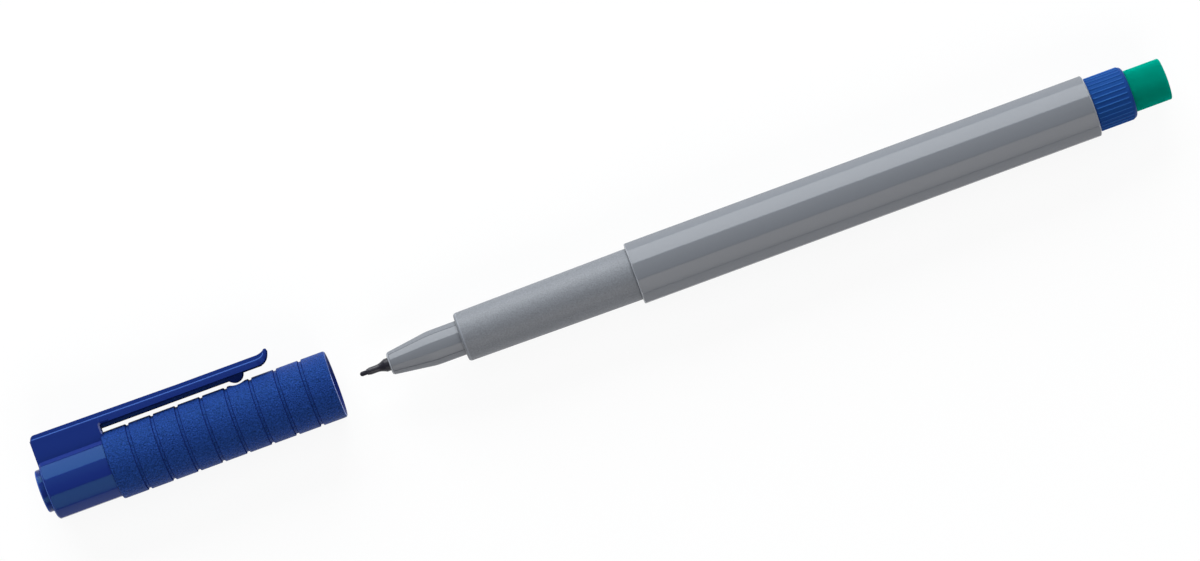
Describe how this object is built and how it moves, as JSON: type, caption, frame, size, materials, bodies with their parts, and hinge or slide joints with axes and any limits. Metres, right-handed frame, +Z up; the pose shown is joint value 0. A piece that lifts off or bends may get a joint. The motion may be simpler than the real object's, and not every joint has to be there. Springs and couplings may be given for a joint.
{
  "type": "overhead projector marker",
  "caption": "Fine-point marker with a faceted barrel, satin grip, ribbed end plug with eraser, and a ringed pull-off cap with a flexing clip.",
  "frame": {"origin": "middle of the whole set's length and width, on the surface it lies on", "axes": "+X along the pen's axis from the cap to the eraser, +Y towards the clip, +Z up"},
  "size_m": [0.1918, 0.0148, 0.0112],
  "materials": {
    "nib_fibre": "dense ink-soaked point",
    "black_plastic": "smooth black moulding",
    "grey_gloss": "polished grey moulding with crisp facets",
    "grip_grey": "satin soft-touch grey",
    "ink_fibre": "bundled polyester fibre soaked in ink",
    "clear_film": "thin clear film",
    "blue_satin": "satin blue moulding",
    "blue_gloss": "polished blue moulding, satin on the ringed sleeve",
    "eraser_green": "matte blue-green eraser"
  },
  "bodies": {
    "pen": {"nib": "nib_fibre", "nib_holder": "black_plastic", "nose_section": "grey_gloss", "grip_sleeve": "grip_grey", "barrel": "grey_gloss", "ink_reservoir": "ink_fibre", "reservoir_film": "clear_film", "end_plug": "blue_satin", "eraser": "eraser_green"},
    "cap": {"cap_shell": "blue_gloss", "inner_cap": "blue_gloss"},
    "clip": {"clip_arm": "blue_gloss"}
  },
  "joints": [
    {"name": "cap_slide", "type": "slide", "parent": "pen", "child": "cap", "axis": [1, 0, 0], "range_m": [0, 0.0507]},
    {"name": "clip_flex", "type": "hinge", "parent": "cap", "child": "clip", "pos_m": [-0.0824, 0.006, 0.0056], "axis": [0, 0, 1], "range_deg": [0, 5], "stiffness_Nm_per_rad": 0.8}
  ]
}
